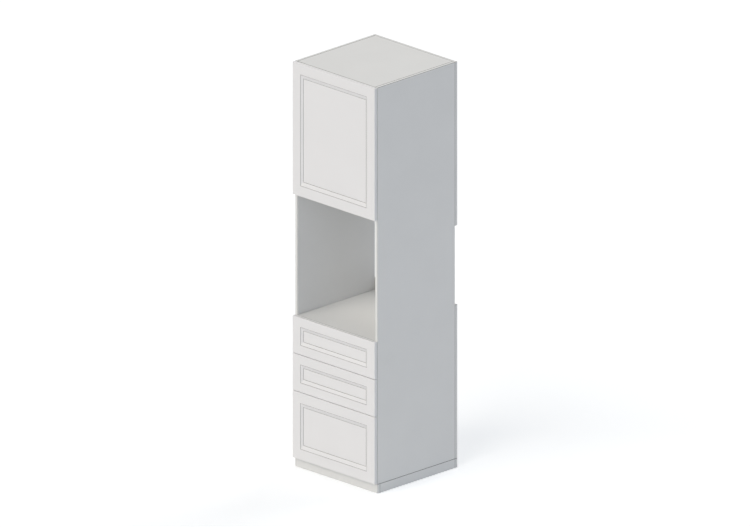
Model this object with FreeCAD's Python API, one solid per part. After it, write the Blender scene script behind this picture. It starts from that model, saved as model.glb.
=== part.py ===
import FreeCAD, Part
import math
import os

# Tall kitchen unit with an open niche for a built-in appliance, in millimetres.
# X runs to the right, Y to the back and Z up, from the floor under the middle of the unit.

# Whole unit and its boards
width = 600.0
depth = 600.0
height = 2210.0
carcass_board = 18.0
back_board = 18.0
front_board = 18.0
plinth_board = 18.0
edge_chamfer = 1.5
fastener_flats = 8
disc_flats = 24

# Levels
plinth_height = 50.0
niche_floor_level = 828.0
niche_height = 662.0
back_lower_top = 888.0
back_upper_foot = 1318.0

# Fronts: air behind them, reveals round them and the routed panel
front_gap = 2.0
side_reveal = 1.5
top_reveal = 1.0
foot_reveal = 4.0
drawer_reveal = 3.0
door_overhang = 2.0
shallow_front_height = 201.0
front_chamfer = 1.2
frame_width = 58.0
recess_depth = 9.0
stile_bevel = 13.0
rail_bevel = 21.0
quirk_width = 2.0
quirk_depth = 2.4

# Cupboard shelf on pins in rows of holes
shelf_board = 18.0
shelf_side_gap = 1.0
shelf_setback = 20.0
shelf_back_gap = 6.0
pin_radius = 2.5
pin_depth = 10.0
pin_collar_radius = 4.0
pin_collar_play = 0.2
pin_peg_radius = 3.0
pin_peg_length = 8.0
pin_row_setback = 37.0
pin_pitch = 32.0
pin_holes_each_way = 3

# Cam locks and their bolts
cam_radius = 7.5
cam_height = 12.5
cam_inset = 24.0
cam_setback = 60.0
cam_slot_width = 1.6
cam_slot_length = 9.0
cam_slot_depth = 2.5
bolt_radius = 3.0
bolt_bore_radius = 3.5
bolt_thread_radius = 2.5
bolt_thread_length = 11.0

# Wall fixing holes in the upper back
wall_hole_radius = 3.0
wall_hole_spacing = 480.0
wall_hole_drop = 60.0

# Drawer boxes
box_board = 15.0
box_bottom_board = 8.0
box_back_gap = 64.0
box_rise = 28.0
shallow_box_height = 130.0
deep_box_height = 280.0
groove_depth = 6.0
groove_rise = 12.0
groove_clearance = 0.1
box_rim_chamfer = 1.5

# Roller runners
runner_width = 12.5
rail_sheet = 1.2
rail_setback = 2.0
rail_overrun = 4.0
rail_flange = 9.3
rail_lip = 14.0
roller_radius = 11.0
roller_width = 8.0
roller_setback = 14.0
roll_clearance = 0.3
stud_radius = 2.5
stud_clearance = 0.06
stud_head_radius = 4.5
stud_head = 1.0
stud_tail_radius = 1.8
stud_play = 0.2

# Push latches
latch_width = 16.0
latch_height = 16.0
latch_length = 40.0
latch_flange = 3.0
latch_flange_reach = 12.0
latch_chamfer = 1.5
plunger_radius = 4.0
plunger_clearance = 0.08
plunger_tip_chamfer = 1.2
plunger_housed = 14.0
plunger_bore = 24.0
latch_touch = 0.3
door_latch_inset = 60.0

# Pivot hinges of the door: a cranked leaf on the carcass, its eye in a slot in the door, a pin down the door
pivot_inset = 6.0
pivot_setback = 7.0
leaf_sheet = 3.0
leaf_slot_clearance = 0.5
eye_radius = 4.0
neck_half = 3.0
crank_gap = 1.0
crank_width = 8.0
leaf_plate_width = 44.0
leaf_plate_setback = 8.0
leaf_plate_depth = 36.0
leaf_screw_radius = 2.2
leaf_screw_edge = 9.0
hinge_pin_radius = 2.5
hinge_pin_clearance = 0.05
hinge_pin_beyond = 12.0
hinge_pin_recess = 1.0

# Door bumpers
bumper_radius = 4.0
bumper_touch = 0.2
bumper_inset = 9.0
bumper_drop = 30.0

# Planes that the boards share
x_out = width / 2
x_in = x_out - carcass_board
y_face = -depth / 2
y_front_back = y_face + front_board
y_carcass = y_front_back + front_gap
y_back = depth / 2
y_inner_back = y_back - back_board
niche_top_level = niche_floor_level + niche_height
cupboard_floor_level = niche_top_level + carcass_board
cupboard_top_level = height - carcass_board
panel_mid = carcass_board / 2

os.makedirs("parts", exist_ok=True)


def vec(x, y, z):
    return FreeCAD.Vector(x, y, z)


def block(x0, x1, y0, y1, z0, z1):
    return Part.makeBox(x1 - x0, y1 - y0, z1 - z0, vec(x0, y0, z0))


def soft_board(x0, x1, y0, y1, z0, z1):
    board = block(x0, x1, y0, y1, z0, z1)
    return board.makeChamfer(edge_chamfer, board.Edges)


def rod(radius, start, end):
    axis = end - start
    return Part.makeCylinder(radius, axis.Length, start, axis)


def flatted(radius, start, end, flats=fastener_flats):
    # Small repeated round forms, such as cams, pins and their holes, have flats instead of one round face
    axis = end - start
    turns = [2 * math.pi * step / flats for step in range(flats)]
    ring = [vec(radius * math.cos(turn), radius * math.sin(turn), 0) for turn in turns]
    prism = Part.Face(Part.makePolygon(ring + ring[:1])).extrude(vec(0, 0, axis.Length))
    prism.Placement = FreeCAD.Placement(start, FreeCAD.Rotation(vec(0, 0, 1), axis))
    return prism


def save(name, *solids):
    shape = solids[0] if len(solids) == 1 else Part.makeCompound(list(solids))
    shape.exportStep(f"parts/{name}.step")


# Cam joints: for each panel end, a cam from below and a bolt screwed into the side panel

panel_tops = {
    "bottom_panel": plinth_height + carcass_board,
    "appliance_shelf": niche_floor_level,
    "cupboard_floor": cupboard_floor_level,
    "top_panel": height,
}
cam_rows = (y_carcass + cam_setback, y_inner_back - cam_setback)


def cam_places(panel_top):
    for side in (-1, 1):
        for y in cam_rows:
            yield side, y, panel_top - panel_mid


def cam_bore(side, y, z):
    foot = z - panel_mid
    x = side * (x_in - cam_inset)
    pocket = flatted(cam_radius, vec(x, y, foot), vec(x, y, foot + cam_height))
    return pocket.fuse(flatted(bolt_bore_radius, vec(x, y, z), vec(side * x_in, y, z)))


def cam(side, y, z):
    foot = z - panel_mid
    x = side * (x_in - cam_inset)
    body = flatted(cam_radius, vec(x, y, foot), vec(x, y, foot + cam_height))
    long = cam_slot_length / 2
    thin = cam_slot_width / 2
    slot_top = foot + cam_slot_depth
    slot_across = block(x - long, x + long, y - thin, y + thin, foot, slot_top)
    slot_along = block(x - thin, x + thin, y - long, y + long, foot, slot_top)
    seat = flatted(bolt_bore_radius, vec(x, y, z), vec(x + side * 2 * cam_radius, y, z))
    return body.cut([slot_across, slot_along, seat])


def cam_bolt(side, y, z):
    shank = flatted(bolt_radius, vec(side * (x_in - cam_inset), y, z), vec(side * x_in, y, z))
    return shank.fuse(bolt_hole(side, y, z))


def bolt_hole(side, y, z):
    return flatted(bolt_thread_radius, vec(side * x_in, y, z), vec(side * (x_in + bolt_thread_length), y, z))


# Rows of pin holes for the cupboard shelf, centred on the height where it rests

shelf_level = (cupboard_floor_level + cupboard_top_level) / 2
pin_level = shelf_level - pin_peg_radius
pin_rows = (y_carcass + pin_row_setback, y_inner_back - pin_row_setback)


def pin_hole(side, y, z):
    return flatted(pin_radius, vec(side * x_in, y, z), vec(side * (x_in + pin_depth), y, z))


def shelf_pin(side, y):
    x_collar = x_in - shelf_side_gap + pin_collar_play
    face = vec(side * x_in, y, pin_level)
    collar = vec(side * x_collar, y, pin_level)
    tip = vec(side * (x_collar - pin_peg_length), y, pin_level)
    collar_disc = flatted(pin_collar_radius, face, collar)
    return pin_hole(side, y, pin_level).fuse([collar_disc, flatted(pin_peg_radius, collar, tip)])


# Carcass


def side_panel(side):
    x0, x1 = sorted((side * x_in, side * x_out))
    panel = soft_board(x0, x1, y_carcass, y_inner_back, plinth_height, height)
    holes = [bolt_hole(s, y, z) for top in panel_tops.values() for s, y, z in cam_places(top) if s == side]
    for y in pin_rows:
        for step in range(-pin_holes_each_way, pin_holes_each_way + 1):
            holes.append(pin_hole(side, y, pin_level + step * pin_pitch))
    return panel.cut(holes)


def cross_panel(panel_top):
    panel = soft_board(-x_in, x_in, y_carcass, y_inner_back, panel_top - carcass_board, panel_top)
    return panel.cut([cam_bore(*place) for place in cam_places(panel_top)])


def upper_back():
    panel = soft_board(-x_out, x_out, y_inner_back, y_back, back_upper_foot, height)
    level = cupboard_top_level - wall_hole_drop
    for side in (-1, 1):
        x = side * wall_hole_spacing / 2
        panel = panel.cut(rod(wall_hole_radius, vec(x, y_inner_back, level), vec(x, y_back, level)))
    return panel


def make_carcass():
    save("side_left", side_panel(-1))
    save("side_right", side_panel(1))
    for name, panel_top in panel_tops.items():
        save(name, cross_panel(panel_top))
    save("back_upper", upper_back())
    save("back_lower", soft_board(-x_out, x_out, y_inner_back, y_back, plinth_height, back_lower_top))
    places = [place for panel_top in panel_tops.values() for place in cam_places(panel_top)]
    save("cam_locks", *[cam(*place) for place in places])
    save("cam_bolts", *[cam_bolt(*place) for place in places])


def make_plinth():
    y_return = y_carcass + plinth_board
    x_return = x_out - plinth_board
    y_rail = (y_return + y_inner_back - plinth_board) / 2
    save("plinth_front", soft_board(-x_out, x_out, y_carcass, y_return, 0, plinth_height))
    save("plinth_back", soft_board(-x_out, x_out, y_inner_back, y_back, 0, plinth_height))
    save("plinth_left", soft_board(-x_out, -x_return, y_return, y_inner_back, 0, plinth_height))
    save("plinth_right", soft_board(x_return, x_out, y_return, y_inner_back, 0, plinth_height))
    save("plinth_rail", soft_board(-x_return, x_return, y_rail, y_rail + plinth_board, 0, plinth_height))


def make_shelf():
    half = x_in - shelf_side_gap
    y0 = y_carcass + shelf_setback
    y1 = y_inner_back - shelf_back_gap
    save("cupboard_shelf", soft_board(-half, half, y0, y1, shelf_level, shelf_level + shelf_board))
    save("shelf_pins", *[shelf_pin(side, y) for side in (-1, 1) for y in pin_rows])


# Fronts


def rectangle(x0, x1, z0, z1, y):
    corners = [vec(x0, y, z0), vec(x1, y, z0), vec(x1, y, z1), vec(x0, y, z1)]
    return Part.makePolygon(corners + corners[:1])


def panel_profile():
    # Inset from the sides, inset from the top and foot, and depth, inwards across the routed panel:
    # a slope from the frame down to the panel, with a narrow V groove, the quirk, along each edge of it
    half = quirk_width / 2
    slope_fall = recess_depth * half / stile_bevel
    corners = (
        (frame_width, frame_width, 0.0, 0.0, slope_fall),
        (frame_width + stile_bevel, frame_width + rail_bevel, recess_depth, -slope_fall, 0.0),
    )
    for inset_x, inset_z, sunk, fall_before, fall_after in corners:
        yield inset_x - half, inset_z - half, sunk + fall_before
        yield inset_x, inset_z, sunk + quirk_depth
        yield inset_x + half, inset_z + half, sunk + fall_after


def routed_front(z0, z1):
    x0 = -x_out + side_reveal
    x1 = x_out - side_reveal
    front = block(x0, x1, y_face, y_front_back, z0, z1)
    front = front.makeChamfer(front_chamfer, front.Edges)
    wires = []
    for inset_x, inset_z, sunk in panel_profile():
        wires.append(rectangle(x0 + inset_x, x1 - inset_x, z0 + inset_z, z1 - inset_z, y_face + sunk))
    return front.cut(Part.makeLoft(wires, True, True))


# Drawers, numbered from the top: the decorative front, then the box behind it

top_front_top = niche_floor_level - top_reveal
shallow_step = shallow_front_height + drawer_reveal
second_front_top = top_front_top - shallow_step
drawers = [
    (1, top_front_top - shallow_front_height, top_front_top, shallow_box_height),
    (2, second_front_top - shallow_front_height, second_front_top, shallow_box_height),
    (3, plinth_height + foot_reveal, second_front_top - shallow_step, deep_box_height),
]
x_box = x_in - runner_width
y_box_back = y_inner_back - box_back_gap


def box_groove(box_foot):
    half = x_box - box_board + groove_depth + groove_clearance
    y0 = y_front_back + box_board - groove_depth - groove_clearance
    y1 = y_box_back - box_board + groove_depth + groove_clearance
    z0 = box_foot + groove_rise
    return block(-half, half, y0, y1, z0 - groove_clearance, z0 + box_bottom_board + groove_clearance)


def box_wall(x0, x1, y0, y1, z0, z1):
    wall = block(x0, x1, y0, y1, z0, z1)
    rim = [edge for edge in wall.Edges if edge.BoundBox.ZMin > z0 and edge.Length > box_board * 1.01]
    return wall.makeChamfer(box_rim_chamfer, rim)


def make_drawer_box(name, box_foot, box_height):
    box_top = box_foot + box_height
    groove = box_groove(box_foot)
    x_inner = x_box - box_board
    for side, word in ((-1, "left"), (1, "right")):
        x0, x1 = sorted((side * x_inner, side * x_box))
        wall = box_wall(x0, x1, y_front_back, y_box_back, box_foot, box_top)
        save(f"{name}_box_{word}", wall.cut(groove))
    inner_front = box_wall(-x_inner, x_inner, y_front_back, y_front_back + box_board, box_foot, box_top)
    save(f"{name}_box_front", inner_front.cut(groove))
    box_back = box_wall(-x_inner, x_inner, y_box_back - box_board, y_box_back, box_foot, box_top)
    save(f"{name}_box_back", box_back.cut(groove))
    half = x_inner + groove_depth
    y0 = y_front_back + box_board - groove_depth
    y1 = y_box_back - box_board + groove_depth
    z0 = box_foot + groove_rise
    save(f"{name}_box_bottom", block(-half, half, y0, y1, z0, z0 + box_bottom_board))


# Roller runners. Heights are from the foot of the drawer box, widths from the side panel's face inwards.

flange_under = 2 * roller_radius + 2 * roll_clearance
roller_level = roll_clearance + roller_radius
y_rail_front = y_carcass + rail_setback
y_rail_back = y_box_back + rail_overrun
y_front_roller = y_rail_front + roller_setback
y_rear_roller = y_box_back - roller_setback
web_in = runner_width - rail_sheet


def rail_strip(side, box_foot, outline, y0, y1):
    points = [vec(side * (x_in - t), y0, box_foot + z) for t, z in outline]
    face = Part.Face(Part.makePolygon(points + points[:1]))
    return face.extrude(vec(0, y1 - y0, 0))


def cabinet_rail(side, box_foot):
    top = flange_under + rail_sheet + roll_clearance
    reach = rail_sheet + rail_flange
    outline = [
        (0, -rail_sheet), (reach, -rail_sheet), (reach, 0), (rail_sheet, 0),
        (rail_sheet, top), (reach, top), (reach, top + rail_sheet), (0, top + rail_sheet),
    ]
    rail = rail_strip(side, box_foot, outline, y_rail_front, y_rail_back)
    return rail.cut(stud(side, box_foot, 0, 1, y_front_roller))


def drawer_rail(side, box_foot):
    web_out = runner_width
    flange_end = web_out - rail_flange
    outline = [
        (web_in + rail_lip, -rail_sheet), (web_in, -rail_sheet), (web_in, flange_under),
        (flange_end, flange_under), (flange_end, flange_under + rail_sheet),
        (web_out, flange_under + rail_sheet), (web_out, 0), (web_in + rail_lip, 0),
    ]
    rail = rail_strip(side, box_foot, outline, y_front_back, y_box_back)
    return rail.cut(stud(side, box_foot, runner_width, -1, y_rear_roller))


def stud(side, box_foot, root, inward, y):
    web = root + inward * rail_sheet
    neck = web + inward * (roller_width + 2 * stud_play)
    tip = neck + inward * stud_head
    places = [vec(side * (x_in - t), y, box_foot + roller_level) for t in (root, web, neck, tip)]
    tail = flatted(stud_tail_radius, places[0], places[1])
    shank = flatted(stud_radius, places[1], places[2])
    return tail.fuse([shank, flatted(stud_head_radius, places[2], places[3])])


def roller(side, box_foot, root, inward, y):
    z = box_foot + roller_level
    start = root + inward * (rail_sheet + stud_play)
    end = start + inward * roller_width
    near = vec(side * (x_in - start), y, z)
    far = vec(side * (x_in - end), y, z)
    bore_radius = (stud_radius + stud_clearance) / math.cos(math.pi / fastener_flats)
    return flatted(roller_radius, near, far, disc_flats).cut(flatted(bore_radius, near, far))


def make_runners(name, box_foot):
    front_place = (0, 1, y_front_roller)
    rear_place = (runner_width, -1, y_rear_roller)
    rails = []
    moving = []
    for side in (-1, 1):
        rails += [cabinet_rail(side, box_foot), stud(side, box_foot, *front_place)]
        moving += [drawer_rail(side, box_foot), stud(side, box_foot, *rear_place)]
    save(f"{name}_cabinet_rails", *rails)
    save(f"{name}_drawer_rails", *moving)
    save(f"{name}_front_rollers", *[roller(side, box_foot, *front_place) for side in (-1, 1)])
    save(f"{name}_rear_rollers", *[roller(side, box_foot, *rear_place) for side in (-1, 1)])


# Push latches: a block with a sprung plunger that rests on the back of what it pushes


def latch_block(x, z, y_mouth, length):
    half = latch_width / 2
    rise = latch_height / 2
    body = block(x - half, x + half, y_mouth, y_mouth + length, z - rise, z + rise)
    return body.makeChamfer(latch_chamfer, [edge for edge in body.Edges if abs(edge.tangentAt(0).y) > 0.5])


def latch_bore(x, z, y_mouth):
    return flatted(plunger_radius + plunger_clearance, vec(x, y_mouth, z), vec(x, y_mouth + plunger_bore, z))


def plunger(x, z, y_tip, y_mouth):
    pin = flatted(plunger_radius, vec(x, y_tip, z), vec(x, y_mouth + plunger_housed, z))
    tip_edges = [edge for edge in pin.Edges if abs(edge.BoundBox.YMax - y_tip) < 1e-6]
    return pin.makeChamfer(plunger_tip_chamfer, tip_edges)


def drawer_latch(z):
    y_mouth = y_inner_back - latch_length
    reach = latch_width / 2 + latch_flange_reach
    rise = latch_height / 2
    flange = block(-reach, reach, y_inner_back - latch_flange, y_inner_back, z - rise, z + rise)
    body = latch_block(0, z, y_mouth, latch_length).fuse(flange).cut(latch_bore(0, z, y_mouth))
    return body, plunger(0, z, y_box_back + latch_touch, y_mouth)


def door_latch():
    x = x_in - door_latch_inset
    z = cupboard_top_level - latch_height / 2
    reach = latch_width / 2 + latch_flange_reach
    flange = block(
        x - reach, x + reach, y_carcass + latch_flange_reach, y_carcass + latch_length,
        cupboard_top_level - latch_flange, cupboard_top_level,
    )
    body = latch_block(x, z, y_carcass + latch_flange, latch_length).fuse(flange)
    body = body.cut(latch_bore(x, z, y_carcass + latch_flange))
    return body, plunger(x, z, y_front_back + latch_touch, y_carcass + latch_flange)


# Door on two pivot hinges at its left edge, with bumpers down its free edge

door_foot = niche_top_level - door_overhang
door_top = height - top_reveal
x_pivot = -x_out + side_reveal + pivot_inset
y_pivot = y_face + pivot_setback
x_crank = -x_in + crank_gap
leaf_levels = {"top": cupboard_top_level - leaf_sheet, "bottom": cupboard_floor_level}


def hinge_leaf(z):
    eye = rod(eye_radius, vec(x_pivot, y_pivot, z), vec(x_pivot, y_pivot, z + leaf_sheet))
    x_crank_end = x_crank + crank_width
    y_plate = y_carcass + leaf_plate_setback
    y_plate_back = y_plate + leaf_plate_depth
    neck = block(x_pivot, x_crank_end, y_pivot - neck_half, y_pivot + neck_half, z, z + leaf_sheet)
    crank = block(x_crank, x_crank_end, y_pivot - neck_half, y_plate_back, z, z + leaf_sheet)
    plate = block(x_crank, x_crank + leaf_plate_width, y_plate, y_plate_back, z, z + leaf_sheet)
    bore = hinge_pin_radius + hinge_pin_clearance
    holes = [rod(bore, vec(x_pivot, y_pivot, z), vec(x_pivot, y_pivot, z + leaf_sheet))]
    for x in (x_crank + leaf_screw_edge, x_crank + leaf_plate_width - leaf_screw_edge):
        for y in (y_plate + leaf_screw_edge, y_plate_back - leaf_screw_edge):
            holes.append(flatted(leaf_screw_radius, vec(x, y, z), vec(x, y, z + leaf_sheet)))
    return eye.fuse([neck, crank, plate]).removeSplitter().cut(holes)


def hinge_pin_ends(word):
    z = leaf_levels[word]
    if word == "top":
        return z - hinge_pin_beyond, door_top - hinge_pin_recess
    return door_foot + hinge_pin_recess, z + leaf_sheet + hinge_pin_beyond


def hinge_pin(word):
    low, high = hinge_pin_ends(word)
    return rod(hinge_pin_radius, vec(x_pivot, y_pivot, low), vec(x_pivot, y_pivot, high))


def leaf_slot(z):
    reach_x = x_crank + crank_width - x_pivot
    reach_y = y_front_back - y_pivot
    sweep = (reach_x ** 2 + reach_y ** 2) ** 0.5 + leaf_slot_clearance
    z0 = z - leaf_slot_clearance
    z1 = z + leaf_sheet + leaf_slot_clearance
    disc = rod(sweep, vec(x_pivot, y_pivot, z0), vec(x_pivot, y_pivot, z1))
    y_skin = y_pivot - eye_radius - leaf_slot_clearance
    return disc.common(block(-x_out, x_pivot + sweep, y_skin, y_front_back, z0, z1))


def door_bumper(z):
    x = x_out - bumper_inset
    return flatted(bumper_radius, vec(x, y_front_back, z), vec(x, y_carcass - bumper_touch, z), disc_flats)


def make_door():
    cuts = []
    for word, z in leaf_levels.items():
        low, high = hinge_pin_ends(word)
        outer = door_top if word == "top" else door_foot
        drill_start = vec(x_pivot, y_pivot, min(low, outer))
        drill_end = vec(x_pivot, y_pivot, max(high, outer))
        cuts += [leaf_slot(z), rod(hinge_pin_radius, drill_start, drill_end)]
        save(f"hinge_leaf_{word}", hinge_leaf(z))
    save("door_panel", routed_front(door_foot, door_top).cut(cuts))
    save("hinge_pins", *[hinge_pin(word) for word in leaf_levels])
    save("door_bumpers", door_bumper(door_foot + bumper_drop), door_bumper(door_top - bumper_drop))


def make_drawers_and_latches():
    housings = []
    for number, z0, z1, box_height in drawers:
        name = f"drawer_{number}"
        box_foot = z0 + box_rise
        save(f"{name}_front", routed_front(z0, z1))
        make_drawer_box(name, box_foot, box_height)
        make_runners(name, box_foot)
        housing, pin = drawer_latch(box_foot + box_height / 2)
        housings.append(housing)
        save(f"{name}_latch_plunger", pin)
    housing, pin = door_latch()
    housings.append(housing)
    save("door_latch_plunger", pin)
    save("latch_housings", *housings)


make_carcass()
make_plinth()
make_shelf()
make_door()
make_drawers_and_latches()
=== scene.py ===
import math

import bmesh
import bpy
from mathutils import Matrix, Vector


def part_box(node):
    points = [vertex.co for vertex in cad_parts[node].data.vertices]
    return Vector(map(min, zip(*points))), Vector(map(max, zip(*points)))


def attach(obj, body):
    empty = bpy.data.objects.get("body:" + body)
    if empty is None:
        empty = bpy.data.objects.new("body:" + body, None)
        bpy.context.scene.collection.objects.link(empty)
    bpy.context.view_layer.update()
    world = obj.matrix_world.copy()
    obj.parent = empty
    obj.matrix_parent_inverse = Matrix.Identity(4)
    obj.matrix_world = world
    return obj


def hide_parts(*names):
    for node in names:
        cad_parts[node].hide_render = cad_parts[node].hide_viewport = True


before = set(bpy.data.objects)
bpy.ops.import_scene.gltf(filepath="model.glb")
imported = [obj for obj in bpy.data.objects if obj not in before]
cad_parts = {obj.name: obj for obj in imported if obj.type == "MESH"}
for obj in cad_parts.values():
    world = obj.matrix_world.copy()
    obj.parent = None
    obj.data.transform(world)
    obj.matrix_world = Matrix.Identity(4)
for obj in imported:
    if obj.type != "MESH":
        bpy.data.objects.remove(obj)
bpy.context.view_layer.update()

# Plinth: five boards on edge under the cabinet, a front, a back, two returns and a cross rail.
# They are chipboard faced with white melamine and taped on their edges, screwed into a box.


def linear(hex_code):
    # An sRGB hex colour as linear light
    shares = [int(hex_code[at:at + 2], 16) / 255 for at in (0, 2, 4)]
    return [s / 12.92 if s <= 0.04045 else ((s + 0.055) / 1.055) ** 2.4 for s in shares] + [1.0]


def per_mm(size_mm):
    # Pattern scale that makes one feature this wide, as Object coordinates are in metres
    return 1000.0 / size_mm


def add_node(tree, kind, settings=None, links=None):
    node = tree.nodes.new(kind)
    for key, value in (settings or {}).items():
        if isinstance(key, str) and hasattr(node, key):
            setattr(node, key, value)
        else:
            node.inputs[key].default_value = value
    for key, source in (links or {}).items():
        tree.links.new(source, node.inputs[key])
    return node


# Sockets that a Mix node tells apart by number alone: its share, its two colours, and what comes out
mix_share, mix_first, mix_second, mix_out = 0, 6, 7, 2


def new_material(name, settings):
    # A principled surface with its fixed values, and the coordinates that its patterns read
    material = bpy.data.materials.new(name)
    material.use_nodes = True
    surface = material.node_tree.nodes["Principled BSDF"]
    for key, value in settings.items():
        surface.inputs[key].default_value = value
    place = add_node(material.node_tree, "ShaderNodeTexCoord").outputs["Object"]
    return material, surface, place


def blotch(material, surface, place, size_mm, hexes):
    # Slow drift between two near colours
    tree = material.node_tree
    cloud = add_node(tree, "ShaderNodeTexNoise", {"Scale": per_mm(size_mm), "Detail": 3.0}, {"Vector": place})
    mix = add_node(tree, "ShaderNodeMix",
                   {"data_type": "RGBA", mix_first: linear(hexes[0]), mix_second: linear(hexes[1])},
                   {mix_share: cloud.outputs["Fac"]})
    tree.links.new(mix.outputs[mix_out], surface.inputs["Base Color"])


def grain(material, surface, place, size_mm, depth_mm, rough_span):
    # One fine noise that raises the surface and breaks up its gloss
    tree = material.node_tree
    noise = add_node(tree, "ShaderNodeTexNoise", {"Scale": per_mm(size_mm), "Detail": 2.0}, {"Vector": place})
    rough = add_node(tree, "ShaderNodeMapRange", {"To Min": rough_span[0], "To Max": rough_span[1]},
                     {"Value": noise.outputs["Fac"]})
    bump = add_node(tree, "ShaderNodeBump", {"Strength": 1.0, "Distance": depth_mm / 1000},
                    {"Height": noise.outputs["Fac"]})
    tree.links.new(rough.outputs["Result"], surface.inputs["Roughness"])
    tree.links.new(bump.outputs["Normal"], surface.inputs["Normal"])


def arris(material, surface, hex_code, flat_share, steep_share):
    # Another colour, here painted shade, on the narrow faces that stand askew to the board's sides and steep
    # to its front
    tree = material.node_tree
    way = add_node(tree, "ShaderNodeTexCoord").outputs["Normal"]
    size = add_node(tree, "ShaderNodeVectorMath", {"operation": "ABSOLUTE"}, {0: way})
    parts = add_node(tree, "ShaderNodeSeparateXYZ", {}, {0: size.outputs[0]}).outputs
    most = add_node(tree, "ShaderNodeMath", {"operation": "MAXIMUM"}, {0: parts["X"], 1: parts["Y"]})
    most = add_node(tree, "ShaderNodeMath", {"operation": "MAXIMUM"}, {0: most.outputs[0], 1: parts["Z"]})
    askew = add_node(tree, "ShaderNodeMath", {"operation": "LESS_THAN", 1: flat_share}, {0: most.outputs[0]})
    steep = add_node(tree, "ShaderNodeMath", {"operation": "LESS_THAN", 1: steep_share}, {0: parts["Y"]})
    both = add_node(tree, "ShaderNodeMath", {"operation": "MULTIPLY"},
                    {0: askew.outputs[0], 1: steep.outputs[0]})
    plain = surface.inputs["Base Color"].links[0].from_socket
    mix = add_node(tree, "ShaderNodeMix", {"data_type": "RGBA", mix_second: linear(hex_code)},
                   {mix_share: both.outputs[0], mix_first: plain})
    tree.links.new(mix.outputs[mix_out], surface.inputs["Base Color"])


def melamine_faced_board(name, painted_shade_hex):
    # Resin paper pressed on chipboard under a pearl-textured plate: an even white, a dull sheen
    # and a fine pebble, drawn at 2 mm because the real 0.3 mm pebble is too fine to show. A grey line of
    # painted shade lies on the chamfers of its taped edges, for the shade in the joints, drawn as wide as
    # the chamfer for the same reason. The painted shade is darkest along the edges that run from front to
    # back, where the boards butt together.
    material, surface, place = new_material(name, {"IOR": 1.5})
    blotch(material, surface, place, size_mm=180, hexes=("DADAD9", "DFDFDE"))
    # Painted shade on the chamfers, then darker painted shade on the chamfers that run from front to back
    arris(material, surface, painted_shade_hex, flat_share=0.9, steep_share=0.9)
    arris(material, surface, "6A6A69", flat_share=0.9, steep_share=0.3)
    grain(material, surface, place, size_mm=2.0, depth_mm=0.012, rough_span=(0.46, 0.58))
    return material


def dress(material, slot, *nodes):
    for node in nodes:
        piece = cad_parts[node]
        piece.data.materials.clear()
        piece.data.materials.append(material)


# The boards with the most open front edges have a paler line of painted shade
melamine = melamine_faced_board("melamine_faced_board", "A4A4A2")
# The same board with a paler grey of painted shade on its chamfers
paler_shaded = melamine_faced_board("melamine_faced_board_paler_painted_shade", "BCBCBA")
dress(paler_shaded, "white_melamine", "plinth_front")
dress(melamine, "white_melamine", "plinth_back", "plinth_left", "plinth_right", "plinth_rail")

# Carcass: two full-height sides with the bottom, the appliance shelf, the cupboard floor and the top
# between them, all 18 mm melamine-faced board, drilled for cams and shelf pins and taped on the edges.

cross_panels = ("bottom_panel", "appliance_shelf", "cupboard_floor", "top_panel")
dress(melamine, "white_melamine", "bottom_panel", "cupboard_floor", "top_panel")
dress(paler_shaded, "white_melamine", "side_left", "side_right", "appliance_shelf")
x_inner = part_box("bottom_panel")[1].x

# Cam locks: sixteen die-cast zinc drums let into the undersides of the cross panels, with a cross
# slot to turn them. Each one pulls on a steel bolt that is screwed into the side panel.


def zinc_die_casting():
    # Cast zinc, left bare: a soft grey metal with the faint mottle of the die
    material, surface, place = new_material("zinc_die_casting", {"Metallic": 1.0})
    blotch(material, surface, place, size_mm=6, hexes=("9FA2A6", "B4B6B8"))
    grain(material, surface, place, size_mm=0.8, depth_mm=0.01, rough_span=(0.38, 0.55))
    return material


head_facets = 28


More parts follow.
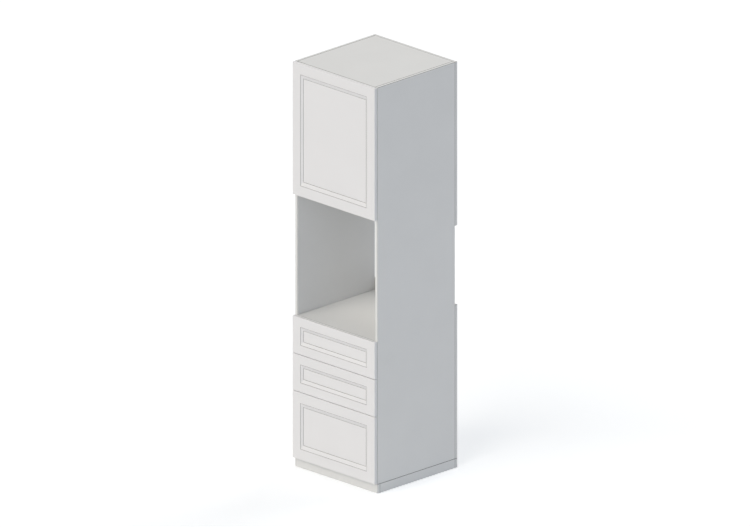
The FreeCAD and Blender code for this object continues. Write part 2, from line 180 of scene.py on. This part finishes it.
def cross_head_tree():
    # A low drum or screw head with a cross recess, set on every place and turned to face outwards
    tree = bpy.data.node_groups.new("cross_heads", "GeometryNodeTree")
    sockets = {"Places": "Geometry", "Rim radius": "Float", "Crown radius": "Float", "Height": "Float",
               "Slot length": "Float", "Slot width": "Float", "Slot depth": "Float", "Finish": "Material"}
    for name, kind in sockets.items():
        tree.interface.new_socket(name, in_out="INPUT", socket_type="NodeSocket" + kind)
    tree.interface.new_socket("Heads", in_out="OUTPUT", socket_type="NodeSocketGeometry")
    given = add_node(tree, "NodeGroupInput").outputs
    drum = add_node(tree, "GeometryNodeMeshCone", {"Vertices": head_facets}, {
        "Radius Top": given["Crown radius"], "Radius Bottom": given["Rim radius"], "Depth": given["Height"]})
    top = add_node(tree, "ShaderNodeCombineXYZ", {}, {"Z": given["Height"]})
    deep = add_node(tree, "ShaderNodeMath", {"operation": "MULTIPLY", 1: 2.0}, {0: given["Slot depth"]})
    bars = []
    for along, across in (("X", "Y"), ("Y", "X")):
        size = add_node(tree, "ShaderNodeCombineXYZ", {}, {
            along: given["Slot length"], across: given["Slot width"], "Z": deep.outputs[0]})
        bar = add_node(tree, "GeometryNodeMeshCube", {}, {"Size": size.outputs[0]})
        bars.append(add_node(tree, "GeometryNodeTransform", {}, {
            "Geometry": bar.outputs["Mesh"], "Translation": top.outputs[0]}))
    slotted = add_node(tree, "GeometryNodeMeshBoolean", {"operation": "DIFFERENCE", "solver": "EXACT"},
                       {"Mesh 1": drum.outputs["Mesh"]})
    for bar in bars:
        tree.links.new(bar.outputs["Geometry"], slotted.inputs["Mesh 2"])
    facing = add_node(tree, "GeometryNodeInputNamedAttribute",
                      {"data_type": "FLOAT_VECTOR", "Name": "facing"})
    turn = add_node(tree, "FunctionNodeAlignRotationToVector", {"axis": "Z"},
                    {"Vector": facing.outputs["Attribute"]})
    heads = add_node(tree, "GeometryNodeInstanceOnPoints", {}, {
        "Points": given["Places"], "Instance": slotted.outputs["Mesh"], "Rotation": turn.outputs["Rotation"]})
    real = add_node(tree, "GeometryNodeRealizeInstances", {}, {"Geometry": heads.outputs["Instances"]})
    done = add_node(tree, "GeometryNodeSetMaterial", {}, {
        "Geometry": real.outputs["Geometry"], "Material": given["Finish"]})
    add_node(tree, "NodeGroupOutput", {}, {"Heads": done.outputs["Geometry"]})
    return tree


cross_heads = cross_head_tree()


def add_object(name, data):
    thing = bpy.data.objects.new(name, data)
    bpy.context.scene.collection.objects.link(thing)
    return thing


def finished_mesh(piece):
    # The mesh with its modifiers worked in, after which they are removed
    graph = bpy.context.evaluated_depsgraph_get()
    mesh = bpy.data.meshes.new_from_object(piece.evaluated_get(graph), depsgraph=graph)
    piece.modifiers.clear()
    return mesh


def set_heads(name, body, places, sizes_mm, finish):
    # places holds pairs of a seat and the way that its head faces
    seats = bpy.data.meshes.new(name)
    seats.from_pydata([seat for seat, way in places], [], [])
    facing = seats.attributes.new("facing", "FLOAT_VECTOR", "POINT")
    facing.data.foreach_set("vector", [part for seat, way in places for part in way])
    holder = add_object(name, seats)
    modifier = holder.modifiers.new("heads", "NODES")
    modifier.node_group = cross_heads
    for item in cross_heads.interface.items_tree:
        if item.name in sizes_mm:
            modifier[item.identifier] = sizes_mm[item.name] / 1000
        elif item.name == "Finish":
            modifier[item.identifier] = finish
    holder.data = finished_mesh(holder)
    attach(holder, body)
    return holder


zinc = zinc_die_casting()
dress(zinc, "zinc_fittings", "cam_bolts")
cam_low, cam_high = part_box("cam_locks")
cam_sizes_mm = {"Rim radius": 7.2, "Crown radius": 7.0, "Height": 12.0,
                "Slot length": 9.0, "Slot width": 1.8, "Slot depth": 2.5}
cam_inset = 0.0075
cam_places = []
for panel in cross_panels:
    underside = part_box(panel)[0].z
    root = underside + cam_sizes_mm["Height"] / 1000
    for x in (cam_low.x + cam_inset, cam_high.x - cam_inset):
        for y in (cam_low.y + cam_inset, cam_high.y - cam_inset):
            cam_places.append((Vector((x, y, root)), Vector((0, 0, -1))))
cams = set_heads("cam_drums", "carcass", cam_places, cam_sizes_mm, zinc)
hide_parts("cam_locks")

# Backs: two 18 mm melamine-faced boards screwed on behind the sides and the cross panels, with the
# stretch between them left open for the appliance's air and leads. The screws are countersunk, and
# the upper board has the two holes for the wall screws.


def nickel_plated_steel():
    # Pressed or turned steel with a bright nickel plate: a warm pale metal, slightly clouded by handling
    material, surface, place = new_material("nickel_plated_steel", {"Metallic": 1.0})
    blotch(material, surface, place, size_mm=25, hexes=("C6C3BC", "D0CDC6"))
    grain(material, surface, place, size_mm=6.0, depth_mm=0.003, rough_span=(0.26, 0.36))
    return material


def turned(mesh_builder, start, way, outline_mm, steps=32):
    # The wall of a lathe form: outline_mm holds pairs of distance along the axis and radius
    side = way.orthogonal().normalized()
    other = way.cross(side)
    rings = []
    for along, radius in outline_mm:
        ring = []
        for step in range(steps):
            turn = 2 * math.pi * step / steps
            out = side * math.cos(turn) + other * math.sin(turn)
            ring.append(mesh_builder.verts.new(start + way * along / 1000 + out * radius / 1000))
        rings.append(ring)
    for low, high in zip(rings, rings[1:]):
        for step in range(steps):
            after = (step + 1) % steps
            mesh_builder.faces.new((low[step], low[after], high[after], high[step]))
    return rings


def capped(mesh_builder, rings):
    # Flat ends on a wall of rings
    for ring in (rings[0], rings[-1]):
        mesh_builder.faces.new(ring)


def mesh_of(mesh_builder, name, material):
    bmesh.ops.recalc_face_normals(mesh_builder, faces=mesh_builder.faces)
    mesh = bpy.data.meshes.new(name)
    mesh_builder.to_mesh(mesh)
    mesh_builder.free()
    mesh.materials.append(material)
    return mesh


merge_distance = 1e-6


def copy_of(name, node, material):
    # The node's own form, with its loose triangles merged
    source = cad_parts[node].data
    mesh = bpy.data.meshes.new(name)
    mesh.from_pydata([v.co for v in source.vertices], [], [tuple(p.vertices) for p in source.polygons])
    form = bmesh.new()
    form.from_mesh(mesh)
    bmesh.ops.remove_doubles(form, verts=form.verts, dist=merge_distance)
    flat_within = math.radians(1)
    bmesh.ops.dissolve_limit(form, angle_limit=flat_within, verts=form.verts, edges=form.edges)
    form.to_mesh(mesh)
    form.free()
    mesh.materials.append(material)
    return add_object(name, mesh)


def cut_away(piece, waste_mesh):
    waste = add_object("waste", waste_mesh)
    cut = piece.modifiers.new("cut", "BOOLEAN")
    cut.operation = "DIFFERENCE"
    cut.solver = "EXACT"
    cut.object = waste
    piece.data = finished_mesh(piece)
    bpy.data.objects.remove(waste)


def stand_in(piece, body, node):
    # The piece is shown in place of a CAD node and moves with its body
    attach(piece, body)
    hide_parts(node)


nickel = nickel_plated_steel()
flat_head_mm = {"Rim radius": 1.8, "Crown radius": 4.0, "Height": 2.4,
                "Slot length": 4.4, "Slot width": 0.9, "Slot depth": 1.2}
head_sunk = 0.0003
sink_outline_mm = [(-3.2, 1.6), (0.0, 4.5), (1.0, 5.4)]
column_inset = 0.045
column_count = 4
cross_row = (-0.16, 0.0, 0.16)
rearwards = Vector((0, 1, 0))
side_low, side_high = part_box("side_right")
x_column = (side_low.x + side_high.x) / 2
for back in ("back_upper", "back_lower"):
    low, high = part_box(back)
    seats = []
    for step in range(column_count):
        z = low.z + column_inset + (high.z - low.z - 2 * column_inset) * step / (column_count - 1)
        seats += [Vector((side * x_column, high.y, z)) for side in (-1, 1)]
    for panel in cross_panels:
        panel_low, panel_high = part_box(panel)
        z = (panel_low.z + panel_high.z) / 2
        if low.z < z < high.z:
            seats += [Vector((x, high.y, z)) for x in cross_row]
    sinks = bmesh.new()
    for seat in seats:
        capped(sinks, turned(sinks, seat, rearwards, sink_outline_mm, head_facets))
    board = copy_of(f"screwed_{back}", back, melamine)
    cut_away(board, mesh_of(sinks, "sinks", melamine))
    stand_in(board, "carcass", back)
    drop = rearwards * (flat_head_mm["Height"] / 1000 + head_sunk)
    places = [(seat - drop, rearwards) for seat in seats]
    set_heads(f"{back}_screws", "carcass", places, flat_head_mm, nickel)

# Cupboard shelf: one loose 18 mm board of the same kind, which lies on four pins. They are turned from
# nickelled steel and pushed by hand into holes in the sides.


def rounded_over(mesh):
    # Soft shading round the turned faces, with the crisp corners kept
    crisp = math.radians(35)
    mesh.shade_smooth()
    mesh.set_sharp_from_angle(angle=crisp)
    return mesh


dress(melamine, "white_melamine", "cupboard_shelf")
pin_low, pin_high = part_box("shelf_pins")
pin_outline_mm = [(0, 2.4), (9.6, 2.4), (9.6, 4.0), (10.7, 4.0), (10.8, 3.8), (10.8, 3.0), (18.0, 3.0),
                  (18.5, 2.7), (18.8, 2.0)]
pin_collar = 0.004
pins = bmesh.new()
for side in (-1, 1):
    for y in (pin_low.y + pin_collar, pin_high.y - pin_collar):
        root = Vector((side * pin_high.x, y, pin_low.z + pin_collar))
        capped(pins, turned(pins, root, Vector((-side, 0, 0)), pin_outline_mm))
turned_pins = add_object("turned_shelf_pins", rounded_over(mesh_of(pins, "turned_shelf_pins", nickel)))
stand_in(turned_pins, "carcass", "shelf_pins")

# Cabinet rails: cold-rolled steel channels, epoxy coated white, screwed to the sides in pairs. Each
# carries a riveted stud at its front end, on which a nylon roller turns.


def epoxy_coated_steel():
    # Powder-coated sheet steel: a clean hard white with the low swell of melted powder
    material, surface, place = new_material("epoxy_coated_steel", {"IOR": 1.5})
    blotch(material, surface, place, size_mm=90, hexes=("E4E4E2", "E9E9E7"))
    grain(material, surface, place, size_mm=2.5, depth_mm=0.01, rough_span=(0.26, 0.36))
    return material


corner_angle = math.radians(20)
bend_segments = 3
long_run = 0.1


def long_edges(edge):
    return edge.calc_length() > long_run


def soft_copy(name, node, body, round_mm, chosen, material):
    # The node's own form with its chosen corners rounded over
    piece = copy_of(name, node, material)
    form = bmesh.new()
    form.from_mesh(piece.data)
    weight = form.edges.layers.float.new("bevel_weight_edge")
    for edge in form.edges:
        corner = len(edge.link_faces) == 2 and edge.calc_face_angle(0) > corner_angle
        if corner and chosen(edge):
            edge[weight] = 1.0
        elif corner:
            edge.smooth = False
    for face in form.faces:
        face.smooth = True
    form.to_mesh(piece.data)
    form.free()
    rounding = piece.modifiers.new("rounding", "BEVEL")
    rounding.limit_method = "WEIGHT"
    rounding.width = round_mm / 1000
    rounding.segments = bend_segments
    flat_faces = piece.modifiers.new("flat_faces", "WEIGHTED_NORMAL")
    flat_faces.keep_sharp = True
    piece.data = finished_mesh(piece)
    stand_in(piece, body, node)


drawers = (1, 2, 3)
coated_steel = epoxy_coated_steel()
rail_sheet = 0.0012
rail_bend_mm = 0.4
pan_head_mm = {"Rim radius": 3.4, "Crown radius": 2.5, "Height": 1.3,
               "Slot length": 3.4, "Slot width": 0.8, "Slot depth": 0.8}
rail_screw_stations = (0.12, 0.5, 0.9)
cabinet_rail_seats = []
for number in drawers:
    node = f"drawer_{number}_cabinet_rails"
    low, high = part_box(node)
    soft_copy(f"drawer_{number}_coated_cabinet_rails", node, "carcass", rail_bend_mm, long_edges,
              coated_steel)
    for side in (-1, 1):
        for station in rail_screw_stations:
            y = low.y + station * (high.y - low.y)
            seat = Vector((side * (x_inner - rail_sheet), y, (low.z + high.z) / 2))
            cabinet_rail_seats.append((seat, Vector((-side, 0, 0))))
set_heads("cabinet_rail_screws", "carcass", cabinet_rail_seats, pan_head_mm, nickel)

# Drawer boxes: four 15 mm walls of foil-wrapped board round an 8 mm bottom that slides into their
# grooves. The walls are glued and dowelled at the corners.


def foil_wrapped_board():
    # Printed white foil rolled on chipboard: a neutral white, smoother than melamine, with a faint weave
    material, surface, place = new_material("foil_wrapped_board", {"IOR": 1.47})
    blotch(material, surface, place, size_mm=140, hexes=("DCDCDA", "E1E1DF"))
    grain(material, surface, place, size_mm=1.2, depth_mm=0.006, rough_span=(0.42, 0.5))
    return material


foil_board = foil_wrapped_board()
for number in drawers:
    walls = [f"drawer_{number}_box_{part}" for part in ("left", "right", "front", "back", "bottom")]
    dress(foil_board, "drawer_board", *walls)

# Drawer rails: angled channels of the same coated steel, screwed up under each side of the box. Each
# has its stud and roller at the rear end, where it runs inside the cabinet rail.

lip_middle = 0.0075
for number in drawers:
    node = f"drawer_{number}_drawer_rails"
    low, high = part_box(node)
    soft_copy(f"drawer_{number}_coated_drawer_rails", node, f"drawer_{number}", rail_bend_mm, long_edges,
              coated_steel)
    box_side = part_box(f"drawer_{number}_box_right")
    seats = []
    for side in (-1, 1):
        for station in rail_screw_stations:
            y = low.y + station * (high.y - low.y)
            seats.append((Vector((side * (box_side[1].x - lip_middle), y, low.z)), Vector((0, 0, -1))))
    set_heads(f"drawer_{number}_rail_screws", f"drawer_{number}", seats, pan_head_mm, nickel)

# Rollers: moulded nylon wheels with a dished face and a plain bore. They turn freely on the studs that
# are riveted into the rails, two on each pair of cabinet rails and two on each pair of drawer rails.


def moulded_nylon():
    # Natural nylon: milky white, a little waxy, so light sinks in slightly before it comes back
    material, surface, place = new_material("moulded_nylon", {
        "IOR": 1.53, "Subsurface Weight": 0.15, "Subsurface Scale": 0.002})
    blotch(material, surface, place, size_mm=8, hexes=("E3E2DC", "ECEBE6"))
    grain(material, surface, place, size_mm=1.0, depth_mm=0.006, rough_span=(0.34, 0.44))
    return material


nylon = moulded_nylon()
roller_outline_mm = [(0.0, 2.6), (0.0, 4.8), (1.2, 5.2), (1.2, 8.2), (0.0, 8.8), (0.0, 10.3),
                     (0.25, 10.75), (0.7, 10.95), (7.3, 10.95), (7.75, 10.75), (8.0, 10.3), (8.0, 8.8),
                     (6.8, 8.2), (6.8, 5.2), (8.0, 4.8), (8.0, 2.6), (0.0, 2.6)]
roller_facets = 48
for number in drawers:
    for end in ("front", "rear"):
        node = f"drawer_{number}_{end}_rollers"
        low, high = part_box(node)
        middle = (low + high) / 2
        wheels = bmesh.new()
        for side in (-1, 1):
            outer_face = Vector((side * high.x, middle.y, middle.z))
            turned(wheels, outer_face, Vector((-side, 0, 0)), roller_outline_mm, roller_facets)
        bmesh.ops.remove_doubles(wheels, verts=wheels.verts, dist=merge_distance)
        mesh = mesh_of(wheels, f"drawer_{number}_{end}_wheels", nylon)
        stand_in(add_object(f"drawer_{number}_{end}_wheels", rounded_over(mesh)), node, node)

# Drawer fronts: 18 mm MDF, its face routed to a shallow panel with sloped sides, then sanded and
# sprayed with satin white lacquer. Each is screwed on from inside the box.


def satin_lacquered_mdf():
    # Sprayed satin lacquer: a neutral white with a soft sheen and the faint swell of sprayed paint,
    # drawn at 4 mm. Grey painted shade in the quirks draws a fine line round each panel.
    material, surface, place = new_material("satin_lacquered_mdf", {"IOR": 1.5})
    blotch(material, surface, place, size_mm=220, hexes=("E1E0E1", "E5E4E5"))
    # Painted shade on the steep faces of the quirks
    arris(material, surface, "A3A2A1", flat_share=0.97, steep_share=0.6)
    grain(material, surface, place, size_mm=4.0, depth_mm=0.006, rough_span=(0.33, 0.42))
    return material


# The sizes of the routed profile are in millimetres, like those of the screw heads and turned outlines
front_thickness = 18.0
round_on_face = 1.2
round_on_edge = 1.6
round_middle = (0.2, 0.6)
stile_width = 58.0
stile_slope = 13.0
panel_depth = 9.0
quirk_half = 1.0
quirk_depth = 2.4


def routed_board(name, node, material, rail_width, rail_slope):
    # Rings of one profile, from the back of the board round its edge and in across the routed face:
    # inset from the side, inset from the top or foot, and depth behind the face. A fine V-shaped quirk
    # runs along both edges of the slope.
    low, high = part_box(node)
    rounding = ((0.0, round_on_edge), round_middle, (round_on_face, 0.0))
    profile_mm = [(inset, inset, front_thickness - depth) for inset, depth in reversed(rounding)]
    profile_mm += [(inset, inset, depth) for inset, depth in rounding]
    fall = panel_depth * quirk_half / stile_slope
    slope_edges = ((stile_width, rail_width, 0.0, 0.0, fall),
                   (stile_width + stile_slope, rail_width + rail_slope, panel_depth, -fall, 0.0))
    for inset_x, inset_z, depth, fall_before, fall_after in slope_edges:
        profile_mm += [(inset_x - quirk_half, inset_z - quirk_half, depth + fall_before),
                       (inset_x, inset_z, depth + quirk_depth),
                       (inset_x + quirk_half, inset_z + quirk_half, depth + fall_after)]
    board = bmesh.new()
    rings = []
    for inset_x, inset_z, depth in profile_mm:
        x0, x1 = low.x + inset_x / 1000, high.x - inset_x / 1000
        z0, z1 = low.z + inset_z / 1000, high.z - inset_z / 1000
        y = low.y + depth / 1000
        corners = ((x0, y, z0), (x1, y, z0), (x1, y, z1), (x0, y, z1))
        rings.append([board.verts.new(corner) for corner in corners])
    for outer, inner in zip(rings, rings[1:]):
        for corner in range(4):
            after = (corner + 1) % 4
            board.faces.new((outer[corner], outer[after], inner[after], inner[corner]))
    capped(board, rings)
    return mesh_of(board, name, material)


lacquered_mdf = satin_lacquered_mdf()
front_screw_head_mm = {"Rim radius": 4.2, "Crown radius": 3.2, "Height": 1.6,
                       "Slot length": 4.4, "Slot width": 1.0, "Slot depth": 1.0}
front_screw_spread = 0.7
front_screw_rise = 0.045
front_screw_drop = 0.03
# Width of the flat rails above and below a panel, and of the slopes inside them
wide_rail_mm = (58.0, 21.0)
narrow_rail_mm = (51.5, 19.0)
front_rails_mm = {1: narrow_rail_mm, 2: narrow_rail_mm, 3: wide_rail_mm}
for number in drawers:
    node = f"drawer_{number}_front"
    name = f"drawer_{number}_lacquered_front"
    front = add_object(name, routed_board(name, node, lacquered_mdf, *front_rails_mm[number]))
    stand_in(front, f"drawer_{number}", node)
    low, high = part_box(f"drawer_{number}_box_front")
    seats = []
    for x in (low.x * front_screw_spread, high.x * front_screw_spread):
        for z in (low.z + front_screw_rise, high.z - front_screw_drop):
            seats.append((Vector((x, high.y, z)), Vector((0, 1, 0))))
    set_heads(f"drawer_{number}_front_screws", f"drawer_{number}", seats, front_screw_head_mm, nickel)

# Push latches: grey moulded housings screwed behind the drawers and under the top, each with a sprung
# plunger. A push on the closed front trips the latch, and the plunger sends the front out a little way.


def moulded_plastic(name, hexes):
    # Moulded ABS or acetal: one even colour with a fine spark-eroded texture
    material, surface, place = new_material(name, {"IOR": 1.54})
    blotch(material, surface, place, size_mm=15, hexes=hexes)
    grain(material, surface, place, size_mm=0.9, depth_mm=0.012, rough_span=(0.42, 0.52))
    return material


def every_edge(edge):
    return True


latch_grey = moulded_plastic("moulded_abs_grey", ("A4A6A8", "ACAEB0"))
plunger_white = moulded_plastic("moulded_acetal_white", ("E2E2DF", "E8E8E5"))
dress(latch_grey, "latch_plastic", "latch_housings")
plunger_round_mm = 0.3
latch_bodies = ["door_latch_plunger"] + [f"drawer_{number}_latch_plunger" for number in drawers]
for body in latch_bodies:
    soft_copy(f"{body}_pin", body, body, plunger_round_mm, every_edge, plunger_white)
small_head_mm = {"Rim radius": 3.0, "Crown radius": 2.2, "Height": 1.2,
                 "Slot length": 3.0, "Slot width": 0.7, "Slot depth": 0.7}
housing_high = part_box("latch_housings")[1]
flange_thickness = 0.003
flange_screw = 0.014
latch_screw_setback = 0.009
latch_seats = []
for number in drawers:
    low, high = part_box(f"drawer_{number}_latch_plunger")
    for side in (-1, 1):
        seat = Vector((side * flange_screw, housing_high.y - flange_thickness, (low.z + high.z) / 2))
        latch_seats.append((seat, Vector((0, -1, 0))))
low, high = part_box("door_latch_plunger")
for side in (-1, 1):
    x = (low.x + high.x) / 2 + side * flange_screw
    seat = Vector((x, high.y - latch_screw_setback, housing_high.z - flange_thickness))
    latch_seats.append((seat, Vector((0, 0, -1))))
set_heads("latch_screws", "carcass", latch_seats, small_head_mm, nickel)

# Door: one lacquered MDF front like the drawers', hung at its left edge on two pivot hinges. A cranked
# steel leaf is screwed to the carcass, its eye sits in a slot in the door, and a pin goes through both.


def outline_edges(edge):
    # The edges round the two flat faces of a plate that lies level
    run = edge.verts[1].co - edge.verts[0].co
    return abs(run.z) < run.length / 2


pin_low, pin_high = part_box("hinge_pins")
pivot = (pin_low + pin_high) / 2
slot_reach = 0.0229
slot_room = 0.0005
slot_skin = 0.0045
past_edge = 0.001
door_low, door_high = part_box("door_panel")
first_turn = math.asin(-slot_skin / slot_reach)
last_turn = math.asin((door_high.y - pivot.y) / slot_reach)
slot_steps = 8
turns = [first_turn + (last_turn - first_turn) * step / slot_steps for step in range(slot_steps + 1)]
slot_line = [(door_low.x - past_edge, pivot.y - slot_skin)]
for turn in turns:
    slot_line.append((pivot.x + slot_reach * math.cos(turn), pivot.y + slot_reach * math.sin(turn)))
slot_line.append((slot_line[-1][0], door_high.y + past_edge))
slot_line.append((door_low.x - past_edge, door_high.y + past_edge))
slots = bmesh.new()
for leaf in ("hinge_leaf_top", "hinge_leaf_bottom"):
    low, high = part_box(leaf)
    levels = (low.z - slot_room, high.z + slot_room)
    ends = [[slots.verts.new((x, y, z)) for x, y in slot_line] for z in levels]
    for at in range(len(slot_line)):
        after = (at + 1) % len(slot_line)
        slots.faces.new((ends[0][at], ends[0][after], ends[1][after], ends[1][at]))
    capped(slots, ends)
door_form = routed_board("lacquered_door", "door_panel", lacquered_mdf, *wide_rail_mm)
door = add_object("lacquered_door", door_form)
cut_away(door, mesh_of(slots, "leaf_slots", lacquered_mdf))
stand_in(door, "door", "door_panel")
dress(nickel, "nickelled_steel", "hinge_pins")
leaf_screw_edge = 0.009
plate_width = 0.044
plate_depth = 0.036
leaf_round_mm = 0.4
leaf_seats = []
for leaf, up in (("hinge_leaf_top", -1), ("hinge_leaf_bottom", 1)):
    low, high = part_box(leaf)
    soft_copy(f"{leaf}_plate", leaf, "carcass", leaf_round_mm, outline_edges, nickel)
    for x in (high.x - plate_width + leaf_screw_edge, high.x - leaf_screw_edge):
        for y in (high.y - plate_depth + leaf_screw_edge, high.y - leaf_screw_edge):
            leaf_seats.append((Vector((x, y, high.z if up > 0 else low.z)), Vector((0, 0, up))))
set_heads("hinge_leaf_screws", "carcass", leaf_seats, pan_head_mm, nickel)

# Bumpers: two clear silicone dots stuck on the back of the door, down its free edge. They are cast with
# a domed face, and soften the blow when the door meets the carcass.


def clear_silicone():
    # Cast silicone: colourless and rubbery, with a soft wet shine
    material, surface, place = new_material("clear_silicone", {"IOR": 1.41, "Transmission Weight": 0.85})
    blotch(material, surface, place, size_mm=5, hexes=("F1F3F3", "FAFBFB"))
    grain(material, surface, place, size_mm=1.5, depth_mm=0.004, rough_span=(0.18, 0.28))
    return material


silicone = clear_silicone()
dot_low, dot_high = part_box("door_bumpers")
dot_radius_mm = 4.0
dot_height_mm = (dot_high.y - dot_low.y) * 1000
dome = ((0.0, 1.0), (0.35, 0.96), (0.7, 0.78), (0.92, 0.5), (1.0, 0.2))
dot_outline_mm = [(dot_height_mm * along, dot_radius_mm * out) for along, out in dome]
dots = bmesh.new()
for z in (dot_low.z + dot_radius_mm / 1000, dot_high.z - dot_radius_mm / 1000):
    seat = Vector(((dot_low.x + dot_high.x) / 2, dot_low.y, z))
    capped(dots, turned(dots, seat, Vector((0, 1, 0)), dot_outline_mm))
bumpers = add_object("silicone_bumpers", rounded_over(mesh_of(dots, "silicone_bumpers", silicone)))
stand_in(bumpers, "door", "door_bumpers")

# Studio: a plain pale floor that keeps the cabinet's shadow, and soft white light from all round, a
# little cooler on the right. Three broad lamps add to it: a warm one high in front, a warm one high behind,
# whose light comes in through the gap between the backs, and a weak cool one on the right.

floor_half = 15.0
floor_mesh = bpy.data.meshes.new("studio_floor")
floor_mesh.from_pydata([(x * floor_half, y * floor_half, 0) for x, y in ((-1, -1), (1, -1), (1, 1), (-1, 1))],
                       [], [(0, 1, 2, 3)])
floor = add_object("studio_floor", floor_mesh)
paper, paper_surface = new_material("white_paper_floor", {
    "Roughness": 0.9, "Specular IOR Level": 0.0,
    "Base Color": linear("F1F3F5"), "Emission Color": linear("FFFFFF")})[:2]
paper_lift = 0.3
paths = add_node(paper.node_tree, "ShaderNodeLightPath").outputs
lift = add_node(paper.node_tree, "ShaderNodeMath", {"operation": "MULTIPLY", 1: paper_lift},
                {0: paths["Is Camera Ray"]})
paper.node_tree.links.new(lift.outputs[0], paper_surface.inputs["Emission Strength"])
floor_mesh.materials.append(paper)

world = bpy.data.worlds.new("studio_light")
bpy.context.scene.world = world
world.use_nodes = True
sky = world.node_tree
ambient = 0.405
overhead = 0.12
paths = add_node(sky, "ShaderNodeLightPath").outputs
seen = add_node(sky, "ShaderNodeMath", {"operation": "MAXIMUM"},
                {0: paths["Is Camera Ray"], 1: paths["Is Glossy Ray"]})
seen = add_node(sky, "ShaderNodeMath", {"operation": "MAXIMUM"},
                {0: seen.outputs[0], 1: paths["Is Transmission Ray"]})
way = add_node(sky, "ShaderNodeTexCoord").outputs["Generated"]
ways = add_node(sky, "ShaderNodeSeparateXYZ", {}, {0: way}).outputs
graded = add_node(sky, "ShaderNodeMath", {"operation": "MULTIPLY_ADD", 1: overhead, 2: ambient},
                  {0: ways["Z"]})
strength = add_node(sky, "ShaderNodeMix", {"data_type": "FLOAT", "B": 1.0},
                    {"Factor": seen.outputs[0], "A": graded.outputs[0]})
coolness = add_node(sky, "ShaderNodeMapRange", {"From Min": -1.0}, {"Value": ways["X"]})
tint = add_node(sky, "ShaderNodeMix",
                {"data_type": "RGBA", mix_first: linear("FFFDFA"), mix_second: linear("E2EEFF")},
                {mix_share: coolness.outputs["Result"]})
shade = add_node(sky, "ShaderNodeMix", {"data_type": "RGBA", mix_second: linear("FFFFFF")},
                 {mix_share: seen.outputs[0], mix_first: tint.outputs[mix_out]})
backdrop = sky.nodes["Background"]
sky.links.new(shade.outputs[mix_out], backdrop.inputs["Color"])
sky.links.new(strength.outputs[0], backdrop.inputs["Strength"])

# Each lamp has the way towards it, whose length is its light, then its spread in degrees and its tone
lamps = {
    "front_lamp": (Vector((-0.02, -0.41, 0.28)), 60, "FFF8EC"),
    "rear_lamp": (Vector((0.0, 0.195, 0.16)), 40, "FFFAF1"),
    "side_lamp": (Vector((0.04, -0.025, 0.01)), 40, "DCEAFF"),
}
for name, (lamp_way, spread, tone) in lamps.items():
    lamp = bpy.data.lights.new(name, "SUN")
    lamp.energy = lamp_way.length * math.pi
    lamp.angle = math.radians(spread)
    lamp.color = linear(tone)[:3]
    lamp_holder = add_object(name, lamp)
    lamp_holder.rotation_mode = "QUATERNION"
    lamp_holder.rotation_quaternion = (-lamp_way).to_track_quat("-Z", "Y")

# Camera: a view without perspective, from the front right at just over 45 degrees, so that the left side
# ends exactly behind the front edge of the right one. It looks down by the angle whose sine is a third.

turn_round = math.radians(45.1)
look_down = math.asin(1 / 3)
aim = Vector((0.0003, 0.0003, 1.1086))
distance = 8.0
view_width = 3.8513
back_off = Vector((math.sin(turn_round) * math.cos(look_down), -math.cos(turn_round) * math.cos(look_down),
                   math.sin(look_down)))
camera_data = bpy.data.cameras.new("camera")
camera_data.type = "ORTHO"
camera_data.ortho_scale = view_width
camera = add_object("camera", camera_data)
camera.location = aim + back_off * distance
camera.rotation_mode = "QUATERNION"
camera.rotation_quaternion = (-back_off).to_track_quat("-Z", "Y")
bpy.context.scene.camera = camera
bpy.context.scene.view_settings.view_transform = "Standard"
